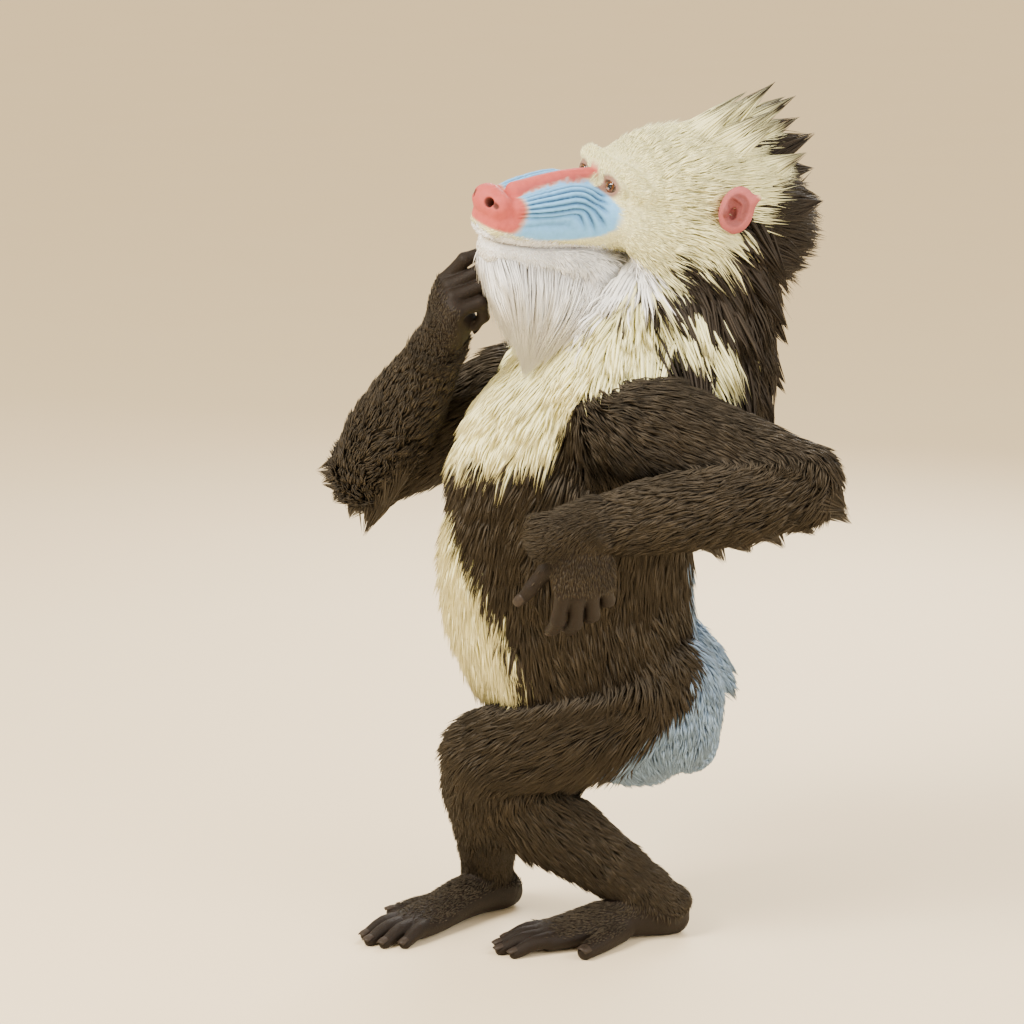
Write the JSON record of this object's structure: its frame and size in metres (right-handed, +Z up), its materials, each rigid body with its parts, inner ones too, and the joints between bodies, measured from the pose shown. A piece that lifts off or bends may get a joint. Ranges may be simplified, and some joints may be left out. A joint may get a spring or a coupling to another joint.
{
  "type": "mandrill",
  "caption": "Life-size adult male mandrill standing upright with crossed legs, one elbow drawn back and the other hand raised to its white beard.",
  "frame": {"origin": "centre of the bounding box at floor level, between the feet", "axes": "+Z up, -Y the way the animal faces, +X the animal's left side"},
  "size_m": [0.493, 0.5234, 0.9223],
  "materials": {
    "coat_brown": "dense matt olive-brown fur",
    "coat_cream": "pale cream fur, darker at the nape",
    "coat_white": "white beard",
    "bare_blue": "ridged bare blue skin beside a red nose",
    "bare_pink": "soft bare pink skin",
    "bare_dark": "creased bare dark brown skin with short hair on its back",
    "eye": "wet amber-brown eye"
  },
  "bodies": {
    "root": {"head": "coat_cream", "muzzle": "bare_blue", "jaw": "coat_white", "ear_left": "bare_pink", "ear_right": "bare_pink", "eye_left": "eye", "eye_right": "eye", "mane": "coat_brown", "chest": "coat_brown", "belly": "coat_brown", "pelvis": "coat_brown", "tail": "coat_brown", "upper_arm_left": "coat_brown", "upper_arm_right": "coat_brown", "forearm_left": "coat_brown", "forearm_right": "coat_brown", "hand_left": "bare_dark", "hand_right": "bare_dark", "thigh_left": "coat_brown", "thigh_right": "coat_brown", "shank_left": "coat_brown", "shank_right": "coat_brown", "foot_left": "bare_dark", "foot_right": "bare_dark"}
  },
  "joints": []
}
